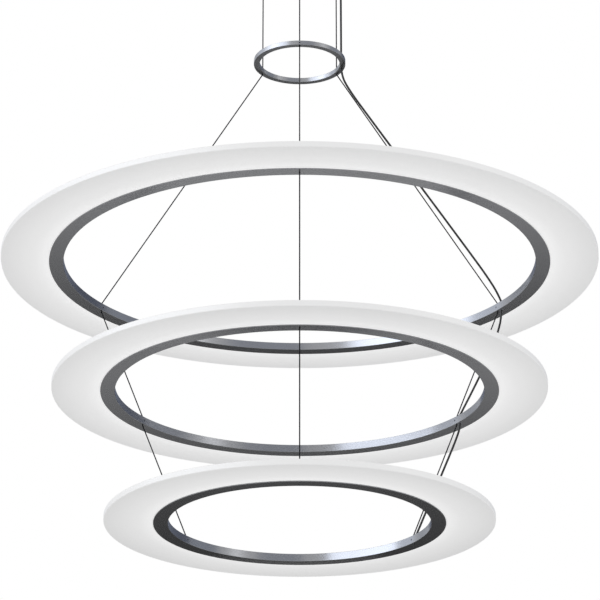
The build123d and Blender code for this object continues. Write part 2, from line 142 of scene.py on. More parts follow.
def linear(code):
    """A screen's hex colour as linear light, with alpha, by the sRGB standard's formula."""
    parts = [int(code[i : i + 2], 16) / 255 for i in (1, 3, 5)]
    light = [c / 12.92 if c <= 0.04045 else ((c + 0.055) / 1.055) ** 2.4 for c in parts]
    return (*light, 1.0)


def add(tree, kind, inputs=None, **settings):
    """Add a node to a tree, with its settings, constants and links."""
    node = tree.nodes.new(kind)
    for name, value in settings.items():
        setattr(node, name, value)
    for name, value in (inputs or {}).items():
        if isinstance(value, bpy.types.Node):
            value = value.outputs[0]
        if isinstance(value, bpy.types.NodeSocket):
            tree.links.new(value, node.inputs[name])
        else:
            node.inputs[name].default_value = value
    return node


print("mid grey in linear light", [round(c, 3) for c in linear("#808080")])

# %% [markdown]
# Material trees
#
# Each material starts empty and ends in an output node. Patterns read Object coordinates, which
# are metres here, so a pattern's scale is one divided by its real spacing. Metals and plastics
# alike have a fine grain that varies their colour, their gloss and their relief, so one
# function ends them all.

# %% Start and close a material


def new_material(name):
    """An empty material, its tree and its Object coordinates."""
    material = bpy.data.materials.new(name)
    material.use_nodes = True
    material.node_tree.nodes.clear()
    place = add(material.node_tree, "ShaderNodeTexCoord").outputs["Object"]
    return material, material.node_tree, place


def close(material, shader):
    """Link a shader to the material's surface."""
    add(material.node_tree, "ShaderNodeOutputMaterial", {"Surface": shader})
    print("material", material.name, "nodes", len(material.node_tree.nodes))
    return material


def grained(material, shades, grain, colours, gloss, relief, constants):
    """Close a material whose shades vary its colour, and whose grain its gloss and relief.

    gloss is the range of roughness, relief is the bump's strength and its depth in metres, and
    constants are the shader's own.
    """
    tree = material.node_tree
    tones = {"Factor": shades, "A": linear(colours[0]), "B": linear(colours[1])}
    satin = {"Value": grain, "To Min": gloss[0], "To Max": gloss[1]}
    bumps = {"Height": grain, "Strength": relief[0], "Distance": relief[1]}
    surface = {
        "Base Color": add(tree, "ShaderNodeMix", tones, data_type="RGBA").outputs["Result"],
        "Roughness": add(tree, "ShaderNodeMapRange", satin),
        "Normal": add(tree, "ShaderNodeBump", bumps),
    }
    return close(material, add(tree, "ShaderNodeBsdfPrincipled", surface | constants))


def per_mm(spacing):
    """Pattern scale for a spacing in millimetres."""
    return 1000 / spacing


def axis_distance(tree, parts):
    """A point's distance from the vertical axis."""
    flat = add(tree, "ShaderNodeCombineXYZ", {"X": parts["X"], "Y": parts["Y"]})
    return add(tree, "ShaderNodeVectorMath", {0: flat}, operation="LENGTH").outputs["Value"]


# %% [markdown]
# Satin anodised aluminium
#
# The hoops and the spreader are rolled aluminium strip, brushed lengthwise and anodised a cool
# grey. The brushing runs round the ring, so it blurs reflections across the strip only a
# little, and long soft highlights lie along the inside faces. It could be painted on an unwrapped
# strip. Noise on polar coordinates needs no unwrapping and has no seam that shows. Real brushing
# lines are about 0.1 mm apart. That is too fine to show, so they are drawn 0.5 mm apart.

# %% Make the anodised aluminium
BRUSHING, STRETCH, CLOUDS = 0.5, 6, 90


def anodised(name, colours, roughness):
    """Brushed and anodised metal whose grain runs round the ring."""
    material, tree, place = new_material(name)
    parts = add(tree, "ShaderNodeSeparateXYZ", {"Vector": place}).outputs
    turn = add(tree, "ShaderNodeMath", {0: parts["Y"], 1: parts["X"]}, operation="ARCTAN2")
    polar = {"X": turn, "Y": axis_distance(tree, parts), "Z": parts["Z"]}
    across = per_mm(BRUSHING)
    sizes = {0: add(tree, "ShaderNodeCombineXYZ", polar), 1: (STRETCH, across, across)}
    lines = add(tree, "ShaderNodeVectorMath", sizes, operation="MULTIPLY")
    grain = add(tree, "ShaderNodeTexNoise", {"Vector": lines, "Scale": 1.0, "Detail": 2.0})
    wide = {"Vector": place, "Scale": per_mm(CLOUDS), "Detail": 2.0}
    cloud = add(tree, "ShaderNodeTexNoise", wide)
    gloss = (roughness - 0.01, roughness + 0.01)
    return grained(material, cloud, grain, colours, gloss, (0.01, 0.0001), {"Metallic": 1.0})


hoop_metal = anodised("anodised_aluminium", ("#929396", "#97989B"), 0.22)
clamp_metal = anodised("milled_aluminium", ("#A4A6AA", "#ADAFB2"), 0.38)

# %% [markdown]
# Brushed steel
#
# The canopy's cup is steel sheet, spun on a lathe and brushed as it turns, so its grain runs
# round the same axis. The same function draws it, paler and a little rougher.

# %% Make the brushed steel
canopy_metal = anodised("brushed_steel", ("#A0A3A7", "#A8ABAF"), 0.3)

# %% [markdown]
# Opal acrylic
#
# The diffusers are extruded opal acrylic, white all through and lit from their inner edge by
# the LED tape. Inside the sheet the light thins out with distance, so the glow is strongest
# beside the hoop. The surface is a soft satin. Real scattering inside the sheet would be slow
# and full of noise, so an emission that falls off with the distance from the hoop is added
# to a white dielectric.

# %% Make the opal acrylic of each ring


def opal_acrylic(name, inner, outer):
    """White acrylic that glows from its inner radius towards its outer one."""
    material, tree, place = new_material(name)
    parts = add(tree, "ShaderNodeSeparateXYZ", {"Vector": place}).outputs
    away = {"Value": axis_distance(tree, parts), "From Min": inner, "From Max": outer}
    glow = add(tree, "ShaderNodeValToRGB", {"Fac": add(tree, "ShaderNodeMapRange", away)})
    glow.color_ramp.elements[0].color = linear("#979797")
    glow.color_ramp.elements[1].color = linear("#5C5C5C")
    glow.color_ramp.elements.new(0.3).color = linear("#808080")
    fine = {"Vector": place, "Scale": per_mm(1.5), "Detail": 2.0}
    satin = {"Value": add(tree, "ShaderNodeTexNoise", fine), "To Min": 0.34, "To Max": 0.46}
    surface = {
        "Base Color": linear("#E6E6E6"),
        "Roughness": add(tree, "ShaderNodeMapRange", satin),
        "IOR": 1.49,
        "Emission Color": glow,
        "Emission Strength": 1.0,
    }
    return close(material, add(tree, "ShaderNodeBsdfPrincipled", surface))


lit_radii = {"large": (0.4617, 0.55), "medium": (0.3617, 0.45), "small": (0.2617, 0.35)}
opal = {ring: opal_acrylic(f"opal_acrylic_{ring}", *radii) for ring, radii in lit_radii.items()}

# %% [markdown]
# Plain metals
#
# Screws, grippers and brackets are steel or brass, turned, rolled or plated. Each has fine
# scratches in every direction, which vary the roughness, and a faint unevenness of colour.
# The suspension is wire rope. Its near-black colour is partly its grease and partly painted shade: the
# shadow between its strands is painted into its colour, though the strands themselves are modelled further
# down.

# %% Make the plain metals


def metal(name, colours, roughness, spacing):
    """A metal with fine marks at a spacing in millimetres."""
    material, tree, place = new_material(name)
    fine = {"Vector": place, "Scale": per_mm(spacing), "Detail": 4.0, "Roughness": 0.6}
    marks = add(tree, "ShaderNodeTexNoise", fine)
    gloss = (roughness - 0.06, roughness + 0.08)
    return grained(material, marks, marks, colours, gloss, (0.08, 0.0001), {"Metallic": 1.0})


blackened_steel = metal("blackened_steel", ("#5A5C60", "#6B6D71"), 0.35, 0.8)
zinc_plate = metal("zinc_plated_steel", ("#A9ABAD", "#BDBFC0"), 0.42, 2.5)
brass = metal("turned_brass", ("#B08D4A", "#C29C56"), 0.28, 0.8)
nickel = metal("nickel_plated_brass", ("#A6A5A2", "#B4B3B0"), 0.2, 1.0)
polished_steel = metal("polished_steel", ("#BFC0C2", "#CBCCCE"), 0.1, 0.5)
spring_steel = metal("spring_steel", ("#87888A", "#96979A"), 0.25, 0.6)
# The rope's near-black colour is greased steel with the painted shade of the gaps between its strands.
rope_grease_and_painted_shade = metal("wire_rope_grease_and_painted_shade", ("#1A1B1E", "#26272A"), 0.36, 0.4)

# %% [markdown]
# Plastics and foam
#
# The cord is black PVC, the bushes and the gland are grey nylon, the driver has a white ABS
# shell and the terminals are pale polyamide. Moulded plastic has a fine even grain from its
# mould. Foam is rougher, with open cells. The LED tape's board is a plastic film too, and the
# windows of its lights are silicone with a yellow phosphor in it.

# %% Make the plastics and the foam


def plastic(name, colours, roughness, spacing, depth):
    """A moulded plastic whose grain has a spacing and a depth in millimetres."""
    material, tree, place = new_material(name)
    fine = {"Vector": place, "Scale": per_mm(spacing), "Detail": 3.0}
    grain = add(tree, "ShaderNodeTexNoise", fine)
    gloss = (roughness - 0.06, roughness + 0.06)
    return grained(material, grain, grain, colours, gloss, (0.3, depth / 1000), {"IOR": 1.5})


cord_pvc = plastic("black_pvc", ("#0A0A0B", "#101012"), 0.5, 0.7, 0.02)
grey_nylon = plastic("grey_nylon", ("#6E7076", "#7A7C82"), 0.5, 0.9, 0.03)
white_abs = plastic("white_abs", ("#E4E4E2", "#EBEBE9"), 0.5, 1.1, 0.03)
polyamide = plastic("pale_polyamide", ("#DDDBD2", "#E6E4DC"), 0.42, 1.3, 0.02)
foam = plastic("black_foam_tape", ("#3A3A3C", "#4A4A4C"), 0.9, 0.6, 0.2)
tape_board = plastic("white_led_tape", ("#ECEBE2", "#F4F3EA"), 0.5, 1.5, 0.01)
phosphor = plastic("yellow_phosphor", ("#E8C65A", "#F0D272"), 0.35, 0.3, 0.005)

# %% [markdown]
# Bodies and slots
#
# The CAD record gives each node a body, which moves it, and a material slot, which names its finish. A piece
# below is drawn in place of a node and rides with that node's body, so that the light still works. Only the
# LED packages stand for no node of their own: they ride with their ring.


def stand_for(obj, node):
    """The object rides with a CAD node's body, and is drawn in its place."""
    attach(obj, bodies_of(frame["nodes"][node])[0])
    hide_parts(node)


# %% [markdown]
# Ropes
#
# Each rope is laid from six strands, which a lobed section shows well when it turns as it
# travels. Six separate helices would cost several times the faces and look the same from a
# step away. A Geometry Nodes tree samples the route, tilts the section by one turn for each lay
# length, and sweeps it. The power cord uses the same tree with no lobes and no turn.

# %% Build the tree that lays a rope along a curve


def new_tree(name, sockets):
    """A Geometry Nodes tree with named inputs. Returns it and its inputs."""
    tree = bpy.data.node_groups.new(name, "GeometryNodeTree")
    for way in ("INPUT", "OUTPUT"):
        tree.interface.new_socket("Geometry", in_out=way, socket_type="NodeSocketGeometry")
    for label, kind in sockets.items():
        tree.interface.new_socket(label, in_out="INPUT", socket_type=kind)
    return tree, add(tree, "NodeGroupInput").outputs


def finish_tree(tree, inputs, mesh):
    """Realise the instances, set the material and close a tree."""
    real = add(tree, "GeometryNodeRealizeInstances", {"Geometry": mesh})
    dress = {"Geometry": real, "Material": inputs["Material"]}
    add(tree, "NodeGroupOutput", {0: add(tree, "GeometryNodeSetMaterial", dress)})
    print("tree", tree.name, "nodes", len(tree.nodes))


FLOAT, INTEGER, MATERIAL = "NodeSocketFloat", "NodeSocketInt", "NodeSocketMaterial"
rope_tree, given = new_tree(
    "laid_rope",
    {
        "Radius": FLOAT, "Strands": INTEGER, "Groove": FLOAT, "Lay": FLOAT, "Step": FLOAT,
        "Points": INTEGER, "Material": MATERIAL,
    },
)
route = {"Curve": given["Geometry"], "Length": given["Step"]}
sampled = add(rope_tree, "GeometryNodeResampleCurve", route, mode="LENGTH")
travelled = add(rope_tree, "GeometryNodeSplineParameter").outputs["Length"]
turns = add(rope_tree, "ShaderNodeMath", {0: travelled, 1: given["Lay"]}, operation="DIVIDE")
tilt = add(rope_tree, "ShaderNodeMath", {0: turns, 1: 2 * pi}, operation="MULTIPLY")
twisted = add(rope_tree, "GeometryNodeSetCurveTilt", {"Curve": sampled, "Tilt": tilt})
around = {"Resolution": given["Points"], "Radius": given["Radius"]}
circle = add(rope_tree, "GeometryNodeCurvePrimitiveCircle", around)

# %% [markdown]
# The circle becomes lobed: a point's distance is multiplied by
# 1 - groove * (1 - |cos(pi * strands * index / points)|). Each line below is one step of that
# sum, with the slot that the value so far goes into.

# %% Give the rope its strands
scale = add(rope_tree, "GeometryNodeInputIndex")
for operation, slot, other in (
    ("DIVIDE", 0, given["Points"]),
    ("MULTIPLY", 0, given["Strands"]),
    ("MULTIPLY", 0, pi),
    ("COSINE", 0, 0.0),
    ("ABSOLUTE", 0, 0.0),
    ("SUBTRACT", 1, 1.0),
    ("MULTIPLY", 0, given["Groove"]),
    ("SUBTRACT", 1, 1.0),
):
    scale = add(rope_tree, "ShaderNodeMath", {slot: scale, 1 - slot: other}, operation=operation)
spot = add(rope_tree, "GeometryNodeInputPosition")
lobed = add(rope_tree, "ShaderNodeVectorMath", {0: spot, "Scale": scale}, operation="SCALE")
section = add(rope_tree, "GeometryNodeSetPosition", {"Geometry": circle, "Position": lobed})
sweep = {"Curve": twisted, "Profile Curve": section, "Fill Caps": True}
swept = add(rope_tree, "GeometryNodeCurveToMesh", sweep)
finish_tree(rope_tree, given, add(rope_tree, "GeometryNodeSetShadeSmooth", {"Geometry": swept}))

# %% [markdown]
# A curve with such a tree becomes a plain mesh: the tree's inputs are set by each socket's identifier, the
# evaluated shape is copied, and the curve goes. A route is a smooth NURBS curve with the route's own points
# as control points.

# %% Run a tree on an object and keep the plain mesh
CURVE_STEPS = 24


def built(obj):
    """A new mesh of the object's final shape."""
    bpy.context.view_layer.update()
    graph = bpy.context.evaluated_depsgraph_get()
    return bpy.data.meshes.new_from_object(obj.evaluated_get(graph))


def solid_from(obj, tree, values):
    """A plain mesh object from an object with a tree on it. The object itself is removed."""
    modifier = obj.modifiers.new("build", "NODES")
    modifier.node_group = tree
    for item in tree.interface.items_tree:
        if item.item_type == "SOCKET" and item.in_out == "INPUT" and item.name in values:
            modifier[item.identifier] = values[item.name]
    mesh = built(obj)
    name, data = obj.name, obj.data
    bpy.data.objects.remove(obj)
    if isinstance(data, bpy.types.Curve):
        bpy.data.curves.remove(data)
    mesh.name = name
    return placed(name, mesh)


def drawn(name, lines, kind):
    """A curve object with one spline for each line of points."""
    curve = bpy.data.curves.new(name, "CURVE")
    curve.dimensions = "3D"
    curve.resolution_u = CURVE_STEPS
    for points in lines:
        spline = curve.splines.new(kind)
        spline.points.add(len(points) - 1)
        for target, point in zip(spline.points, points):
            target.co = (*point, 1)
    return placed(name, curve)


def nurbs(name, points):
    """A smooth open curve with these control points."""
    obj = drawn(name, [points], "NURBS")
    spline = obj.data.splines[0]
    spline.order_u = 3
    spline.use_endpoint_u = True
    return obj


def line_of(obj):
    """The points that a curve object follows."""
    mesh = built(obj)
    points = [vertex.co.copy() for vertex in mesh.vertices]
    bpy.data.meshes.remove(mesh)
    return points


# %% [markdown]
# Lay and declare a stretch
#
# Each stretch of rope or cord stands for its CAD node. Its real length is printed beside the length of the
# drawn line.

# %% Lay, give a mesh of its own, and declare


def at(radius, angle, z):
    """A point given by its distance from the axis, its direction in degrees and its height."""
    return Vector((radius * cos(radians(angle)), radius * sin(radians(angle)), z))


def lay_rope(node, points, shape):
    """One stretch of rope or cord that stands for its CAD node. Returns it and its line."""
    route = nurbs(node + "_piece", points)
    line = line_of(route)
    piece = solid_from(route, rope_tree, shape)
    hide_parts(node)
    return piece, line


def shorten_with(piece):
    """Give the stretch a mesh of its own."""
    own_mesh(piece)


def declare(piece, line, length):
    """Say what a stretch really is."""
    along = sum((b - a).length for a, b in zip(line, line[1:]))
    print(piece.name, "real length", length, "drawn", round(along, 4))


# %% [markdown]
# Levels and radii
#
# The ropes and the cord go through the spreader and the rings, so their routes start from the
# tops and undersides of these and from the circle on which the rope holes lie. Every stretch
# of rope goes down through one ring, bends at the edge of its hole, and runs straight to the
# next. One more point lies six rope diameters beyond the edge, on the straight run, so that
# the smooth curve stays straight from there on.

# %% Lay the ropes
levels = {
    "spreader": (-0.2365, -0.245),
    "large": (-0.6483, -0.6625),
    "medium": (-0.8945, -0.9087),
    "small": (-1.1407, -1.1549),
}
hole_circle = {"spreader": 0.0815, "large": 0.4398, "medium": 0.3398, "small": 0.2398}
rope_angles = {"front": -90, "right": 30, "left": 150}
ROPE, ROPE_TOP, ROPE_MIDDLE, JOINT_GAP = 0.0024, -0.021, -0.1288, 0.0003
INSIDE_RING, BEND, STRAIGHT_RUN = 0.005, 0.0012, 6 * ROPE
rope_lengths = {"spreader": 0.2152, "large": 0.5477, "medium": 0.2665, "small": 0.2665}
rope_shape = {
    "Radius": ROPE / 2, "Strands": 6, "Groove": 0.13, "Lay": 0.015, "Step": 0.0013, "Points": 24,
    "Material": rope_grease_and_painted_shade,
}
spans = [
    ("spreader", "large", "large_ring_slide", 0.2),
    ("large", "medium", "medium_ring_slide", 0.15),
    ("medium", "small", "small_ring_slide", 0.15),
]
body_of = {
    "spreader": "spreader", "large": "large_ring", "medium": "medium_ring", "small": "small_ring",
}
for name, angle in rope_angles.items():
    heights = (ROPE_TOP, ROPE_MIDDLE, levels["spreader"][0] + JOINT_GAP)
    points = [at(hole_circle["spreader"], angle, z) for z in heights]
    piece, line = lay_rope(f"rope_{name}_canopy_to_spreader", points, rope_shape)
    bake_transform(piece, "canopy", "spreader", start=points[0], end=points[-1])
    declare(piece, line, rope_lengths["spreader"])
    for above, below, joint, travel in spans:
        top, bottom = levels[above]
        next_top = levels[below][0] + JOINT_GAP
        edge = at(hole_circle[above], angle, bottom - BEND)
        goal = at(hole_circle[below], angle, next_top)
        run = (goal - edge).normalized()
        points = [at(hole_circle[above], angle, z) for z in (top, bottom + INSIDE_RING)]
        points += [edge, edge + STRAIGHT_RUN * run, goal]
        piece, line = lay_rope(f"rope_{name}_{above}_to_{below}", points, rope_shape)
        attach(piece, body_of[above])
        shorten_with(piece)
        declare(piece, line, rope_lengths[below])

# %% [markdown]
# Power cord
#
# One thin black cord drops from the gland beside the right-hand rope and feeds every ring. It
# isn't pulled tight: it leaves each ring straight down, swings over to the rope's line and
# curves back into the next ring's bush. Each route is written as the way travelled in plan and
# the drop below the ring above. The turn of a lay doesn't show on a smooth cord, and a lay
# length of a kilometre leaves it out.

# %% Lay the power cord
CORD, CORD_TOP, CORD_MIDDLE, NO_TURN = 0.004, -0.034, -0.1353, 1000.0
CORD_ANGLE_SPREADER, CORD_BESIDE_ROPE, BUSH_HEAD = 13.5, 0.012, 0.0008
cord_shape = rope_shape | {
    "Radius": CORD / 2, "Strands": 0, "Groove": 0.0, "Lay": NO_TURN, "Step": 0.003,
    "Material": cord_pvc,
}
cord_lengths = {"spreader": 0.2022, "large": 0.5529, "medium": 0.2675, "small": 0.2662}
cord_routes = {
    "large": [
        (0, 0.014), (0.020, 0.042), (0.058, 0.081), (0.306, 0.331), (0.338, 0.366), (0.354, 0.387),
    ],
    "medium": [(0, 0.014), (0.008, 0.044), (0.022, 0.080), (0.055, 0.150)],
    "small": [(0, 0.008), (0.009, 0.032), (0.024, 0.066)],
}


def cord_place(ring, z):
    """The cord's hole in a ring."""
    radius = hole_circle[ring]
    if ring == "spreader":
        return at(radius, CORD_ANGLE_SPREADER, z)
    return at(radius, rope_angles["right"] - degrees(CORD_BESIDE_ROPE / radius), z)


heights = (CORD_TOP, CORD_MIDDLE, levels["spreader"][0] + JOINT_GAP)
points = [cord_place("spreader", z) for z in heights]
piece, line = lay_rope("cord_canopy_to_spreader", points, cord_shape)
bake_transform(piece, "canopy", "spreader", start=points[0], end=points[-1])
declare(piece, line, cord_lengths["spreader"])

# %% Lead the cord from the gland to the driver
LEAD_LENGTH, LEAD_LEVEL, DRIVER_END, LEAD_ENTRY, LEAD_STRAIGHT = 0.0349, -0.022, 0.058, 0.009, 0.008
gland_top = cord_place("spreader", CORD_TOP)
corner = Vector((gland_top.x, gland_top.y, LEAD_LEVEL))
goal = Vector((DRIVER_END, LEAD_ENTRY, LEAD_LEVEL))
turn_in = goal + Vector((LEAD_STRAIGHT, 0, 0))
lead = [gland_top, gland_top.lerp(corner, 0.5), corner, corner.lerp(turn_in, 0.5), turn_in, goal]
piece, line = lay_rope("driver_output_lead", lead, cord_shape)
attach(piece, "canopy")
declare(piece, line, LEAD_LENGTH)

# %% Lay the cord from ring to ring
for above, below, joint, travel in spans:
    top, bottom = levels[above]
    next_top = levels[below][0] + BUSH_HEAD + JOINT_GAP
    start = cord_place(above, top)
    goal = cord_place(below, next_top)
    plan = Vector((goal.x - start.x, goal.y - start.y, 0)).normalized()
    under = Vector((start.x, start.y, bottom))
    points = [start]
    points += [under + way * plan - Vector((0, 0, drop)) for way, drop in cord_routes[below]]
    points.append(goal)
    piece, line = lay_rope(f"cord_{above}_to_{below}", points, cord_shape)
    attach(piece, body_of[above])
    shorten_with(piece)
    declare(piece, line, cord_lengths[below])

# %% [markdown]
# Turned and rolled rings
#
# A hoop, a diffuser and the spreader are each one section carried round a circle. The Spin tool
# or a Screw modifier could do it. A Geometry Nodes tree does exactly that with named sizes: it
# makes the circle and sweeps the section round it. One step a degree makes the highlights
# smooth. Corners are rounded in the section itself.

# %% Build the tree that carries a section round the axis
ring_tree, given = new_tree(
    "section_round_axis", {"Radius": FLOAT, "Height": FLOAT, "Steps": INTEGER, "Material": MATERIAL}
)
around = {"Resolution": given["Steps"], "Radius": given["Radius"]}
circle = add(ring_tree, "GeometryNodeCurvePrimitiveCircle", around)
lift = add(ring_tree, "ShaderNodeCombineXYZ", {"Z": given["Height"]})
carried = add(ring_tree, "GeometryNodeTransform", {"Geometry": circle, "Translation": lift})
sweep = {"Curve": carried, "Profile Curve": given["Geometry"]}
finish_tree(ring_tree, given, add(ring_tree, "GeometryNodeCurveToMesh", sweep))

# %% [markdown]
# A rounded corner is an arc of a few points. One more point lies on the flat at each end of the
# arc, a tenth of a millimetre on: it keeps the smooth shading of the corner off the flat.

# %% Round a section and turn it
FLAT_MARGIN, DOUBLES = 0.0001, 1e-6


def rounded(points, radius, steps=4):
    """A closed section with every corner rounded. A point may carry its own radius."""
    result = []
    for i, point in enumerate(points):
        corner = Vector(point[:2])
        size = point[2] if len(point) > 2 else radius
        if size == 0:
            result.append(corner)
            continue
        before = (Vector(points[i - 1][:2]) - corner).normalized()
        after = (Vector(points[(i + 1) % len(points)][:2]) - corner).normalized()
        half = before.angle(after) / 2
        reach = size / tan(half)
        centre = corner + (before + after).normalized() * (size / sin(half))
        first = (corner + before * reach - centre).normalized()
        last = (corner + after * reach - centre).normalized()
        result.append(corner + before * (reach + FLAT_MARGIN))
        for step in range(steps + 1):
            result.append(centre + size * first.slerp(last, step / steps))
        result.append(corner + after * (reach + FLAT_MARGIN))
    return result


def face_out(obj):
    """Merge doubles and turn every shell's faces outwards. Prints the enclosed volume."""
    mesh = bmesh.new()
    mesh.from_mesh(obj.data)
    bmesh.ops.remove_doubles(mesh, verts=mesh.verts, dist=DOUBLES)
    wires = [edge for edge in mesh.edges if edge.is_wire]
    bmesh.ops.delete(mesh, geom=wires, context="EDGES")
    bmesh.ops.recalc_face_normals(mesh, faces=mesh.faces)
    if mesh.calc_volume(signed=True) < 0:
        bmesh.ops.reverse_faces(mesh, faces=mesh.faces)
    open_edges = sum(not edge.is_manifold for edge in mesh.edges)
    print(obj.name, "volume cm3", round(mesh.calc_volume() * 1e6, 2), "open edges", open_edges)
    mesh.to_mesh(obj.data)
    mesh.free()


def turned(name, loops, material, steps=360):
    """A ring from one or more closed sections of (radius, height) points."""
    radius, height = (sum(point[i] for point in loops[0]) / len(loops[0]) for i in (0, 1))
    lines = [[(point[0] - radius, height - point[1], 0) for point in loop] for loop in loops]
    obj = drawn(name, lines, "POLY")
    for spline in obj.data.splines:
        spline.use_cyclic_u = True
    values = {"Radius": radius, "Height": height, "Steps": steps, "Material": material}
    made = solid_from(obj, ring_tree, values)
    face_out(made)
    return made


def finish_piece(obj, node, limit=35):
    """Smooth the shading up to an angle in degrees, and let the piece stand for its node."""
    for polygon in obj.data.polygons:
        polygon.use_smooth = True
    obj.data.set_sharp_from_angle(angle=radians(limit))
    if node:
        stand_for(obj, node)
    print(obj.name, "faces", len(obj.data.polygons))


# %% [markdown]
# Holes
#
# The hoops and the spreader are drilled for the ropes, the cord and the grub screws. Holes could
# be drawn into a ring's own faces, but a Boolean does as the drill does: it takes a cutter,
# joined from cylinders, out of the turned ring.

# %% Drill a piece
OVERSHOOT = 0.002


def object_from(name, mesh):
    """An object from a bmesh, which is used up."""
    data = bpy.data.meshes.new(name)
    mesh.to_mesh(data)
    mesh.free()
    return placed(name, data)


def cut(obj, tool, operation="DIFFERENCE"):
    """Combine a piece with another object, which is used up."""
    modifier = obj.modifiers.new("cut", "BOOLEAN")
    modifier.operation = operation
    modifier.solver = "EXACT"
    modifier.object = tool
    result = built(obj)
    obj.modifiers.clear()
    spent = (obj.data, tool.data)
    obj.data = result
    bpy.data.objects.remove(tool)
    for mesh in spent:
        bpy.data.meshes.remove(mesh)
    print(obj.name, operation.lower(), "faces", len(obj.data.polygons))


def drill(obj, holes, sides=32):
    """Cut straight holes, each given as start, end and radius, through a piece."""
    cutter = bmesh.new()
    for start, end, radius in holes:
        start, end = Vector(start), Vector(end)
        turn = (end - start).to_track_quat("Z", "Y").to_matrix().to_4x4()
        bmesh.ops.create_cone(
            cutter, cap_ends=True, segments=sides, radius1=radius, radius2=radius,
            depth=(end - start).length, matrix=Matrix.Translation((start + end) / 2) @ turn,
        )
    cut(obj, object_from("cutter", cutter))


# %% [markdown]
# Hoops
#
# Each hoop is a channel that opens outwards, rolled from an extruded profile. Its closed chamber
# behind the inner face holds the rope clamps, and the wide slot takes the LED tape and the
# diffuser's edge. All of it is one section, so the hoop is turned and then drilled.

# %% Make the three hoops
HOOP_WIDTH, HOOP_HEIGHT, FLANGE, HOOP_EDGE = 0.0264, 0.0142, 0.0015, 0.0004
CHAMBER_INSIDE, CHAMBER_OUTSIDE, PARTITION = 0.0015, 0.0075, 0.009
GRUB_HOLE, ROPE_HOLE = 0.0016, ROPE / 2 + 0.0003
CORD_HOLE = CORD / 2 + 0.0002
BUSH_HOLE = CORD_HOLE + 0.0007
hoop_inside = {"large": 0.4353, "medium": 0.3353, "small": 0.2353}


def hoop_sections(inner, low):
    """Outer section and chamber of a hoop, as (radius, height) points."""
    outside, web, high = inner + HOOP_WIDTH, inner + PARTITION, low + HOOP_HEIGHT
    floor, ceiling = low + FLANGE, high - FLANGE
    outer = [
        (inner, low), (outside, low), (outside, floor), (web, floor, 0), (web, ceiling, 0),
        (outside, ceiling), (outside, high), (inner, high),
    ]
    near, far = inner + CHAMBER_INSIDE, inner + CHAMBER_OUTSIDE
    chamber = [(near, floor), (near, ceiling), (far, ceiling), (far, floor)]
    return [rounded(outer, HOOP_EDGE, 3), chamber]


def clamp_holes(ring, screw):
    """The hole of each rope, and that of its grub screw between two radii."""
    top, bottom = levels[ring]
    holes = []
    for angle in rope_angles.values():
        ends = [at(hole_circle[ring], angle, z) for z in (bottom - OVERSHOOT, top + OVERSHOOT)]
        holes.append((*ends, ROPE_HOLE))
        ends = [at(radius, angle, (top + bottom) / 2) for radius in screw]
        holes.append((*ends, GRUB_HOLE))
    return holes


for ring, inner in hoop_inside.items():
    top, bottom = levels[ring]
    hoop = turned(f"{ring}_hoop_piece", hoop_sections(inner, bottom), hoop_metal)
    holes = clamp_holes(ring, (inner - OVERSHOOT, hole_circle[ring]))
    cord_low = (top + bottom) / 2 if ring == "small" else bottom - OVERSHOOT
    holes.append((cord_place(ring, cord_low), cord_place(ring, top + OVERSHOOT), BUSH_HOLE))
    drill(hoop, holes)
    finish_piece(hoop, f"{ring}_hoop")

# %% [markdown]
# Diffusers
#
# A diffuser is a hollow ring of opal acrylic, open inwards. Its two lips rest in the hoop's
# channel, and its outer edges are softly rounded, as an extruded profile is. It is one section
# too, and the same tree turns it.

# %% Make the three diffusers
LIP_INSET, SLOT_PLAY, WALL, OUTER_WALL = 0.013, 0.0003, 0.0025, 0.003
LIP_ROUND, RIM_ROUND, HOLLOW_ROUND = 0.0003, 0.0014, 0.0008
for ring, (_, outside) in lit_radii.items():
    low = levels[ring][1] + FLANGE
    high = levels[ring][0] - FLANGE - SLOT_PLAY
    lips, hollow = hoop_inside[ring] + LIP_INSET, outside - OUTER_WALL
    section = [
        (lips, low), (outside, low, RIM_ROUND), (outside, high, RIM_ROUND), (lips, high),
        (lips, high - WALL), (hollow, high - WALL, HOLLOW_ROUND),
        (hollow, low + WALL, HOLLOW_ROUND), (lips, low + WALL),
    ]
    diffuser = turned(f"{ring}_diffuser_piece", [rounded(section, LIP_ROUND, 5)], opal[ring])
    finish_piece(diffuser, f"{ring}_diffuser")

# %% [markdown]
# Spreader ring
#
# The spreader turns the three ropes outwards. It is a plain ring of rectangular section,
# machined from the same aluminium, so the hoops' tree and drill make it too.

# %% Make the spreader
SPREADER_INSIDE, SPREADER_OUTSIDE = 0.076, 0.087
top, bottom = levels["spreader"]
section = [
    (SPREADER_INSIDE, bottom), (SPREADER_OUTSIDE, bottom), (SPREADER_OUTSIDE, top),
    (SPREADER_INSIDE, top),
]
spreader = turned("spreader_ring_piece", [rounded(section, HOOP_EDGE, 3)], hoop_metal)
ends = [cord_place("spreader", z) for z in (bottom - OVERSHOOT, top + OVERSHOOT)]
screw = (hole_circle["spreader"], SPREADER_OUTSIDE + OVERSHOOT)
drill(spreader, [(*ends, CORD_HOLE), *clamp_holes("spreader", screw)])
finish_piece(spreader, "spreader_ring")

# %% [markdown]
# Canopy
#
# The canopy is a cup spun from steel sheet, brushed round its axis. Its lower corner is bevelled
# and its folds are soft. Its floor is pierced for the three rope grippers and the cord gland,
# and its wall for the two thumb screws.

